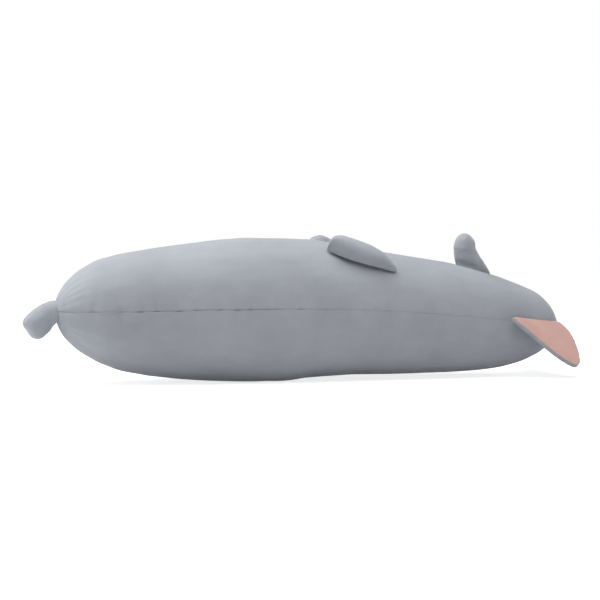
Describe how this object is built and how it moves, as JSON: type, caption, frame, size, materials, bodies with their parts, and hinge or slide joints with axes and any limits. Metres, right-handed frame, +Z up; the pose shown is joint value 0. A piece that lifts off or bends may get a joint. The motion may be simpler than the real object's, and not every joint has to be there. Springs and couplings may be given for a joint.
{
  "type": "elephant body pillow",
  "caption": "Long stuffed plush elephant lying belly up as a body pillow, with soft arms, a stub trunk, a stub tail and lined ears that flex where they are sewn on.",
  "frame": {"origin": "on the floor under the body's lowest station, at the middle of the flat that the pillow rests on", "axes": "+X along the body from the tail to the head, +Z up out of the belly, +Y to the elephant's right side"},
  "size_m": [1.1199, 0.3048, 0.2913],
  "materials": {
    "plush_grey": "short-pile grey velour plush",
    "ear_pink": "short-pile dusty pink velour plush",
    "filling_white": "white fibre filling"
  },
  "bodies": {
    "torso": {"belly_panel": "plush_grey", "back_panel": "plush_grey", "body_filling": "filling_white"},
    "trunk": {"trunk_right_panel": "plush_grey", "trunk_left_panel": "plush_grey", "trunk_filling": "filling_white"},
    "tail": {"tail_right_panel": "plush_grey", "tail_left_panel": "plush_grey", "tail_filling": "filling_white"},
    "left_arm": {"left_arm_upper_panel": "plush_grey", "left_arm_under_panel": "plush_grey", "left_arm_filling": "filling_white"},
    "right_arm": {"right_arm_upper_panel": "plush_grey", "right_arm_under_panel": "plush_grey", "right_arm_filling": "filling_white"},
    "left_ear": {"left_ear_lining": "ear_pink", "left_ear_back": "plush_grey", "left_ear_wadding": "filling_white"},
    "right_ear": {"right_ear_lining": "ear_pink", "right_ear_back": "plush_grey", "right_ear_wadding": "filling_white"}
  },
  "joints": [
    {"name": "trunk_bend", "type": "hinge", "parent": "torso", "child": "trunk", "pos_m": [0.42784, 0, 0.22187], "axis": [0, 1, 0], "range_deg": [-25, 25], "stiffness_Nm_per_rad": 0.1},
    {"name": "tail_swing", "type": "hinge", "parent": "torso", "child": "tail", "pos_m": [-0.41816, 0, 0.13507], "axis": [0, 1, 0], "range_deg": [-15, 15], "stiffness_Nm_per_rad": 0.1},
    {"name": "left_arm_lift", "type": "hinge", "parent": "torso", "child": "left_arm", "pos_m": [0.24084, -0.102, 0.21622], "axis": [0.2696, 0.7212, 0.6381], "range_deg": [0, 80]},
    {"name": "right_arm_lift", "type": "hinge", "parent": "torso", "child": "right_arm", "pos_m": [0.24084, 0.102, 0.21622], "axis": [-0.2696, 0.7212, -0.6381], "range_deg": [0, 80]},
    {"name": "left_ear_lift", "type": "hinge", "parent": "torso", "child": "left_ear", "pos_m": [0.54442, -0.08889, 0.10913], "axis": [-0.8912, -0.4435, 0.095], "range_deg": [0, 100]},
    {"name": "right_ear_lift", "type": "hinge", "parent": "torso", "child": "right_ear", "pos_m": [0.54442, 0.08889, 0.10913], "axis": [0.8912, -0.4435, -0.095], "range_deg": [0, 80]}
  ]
}
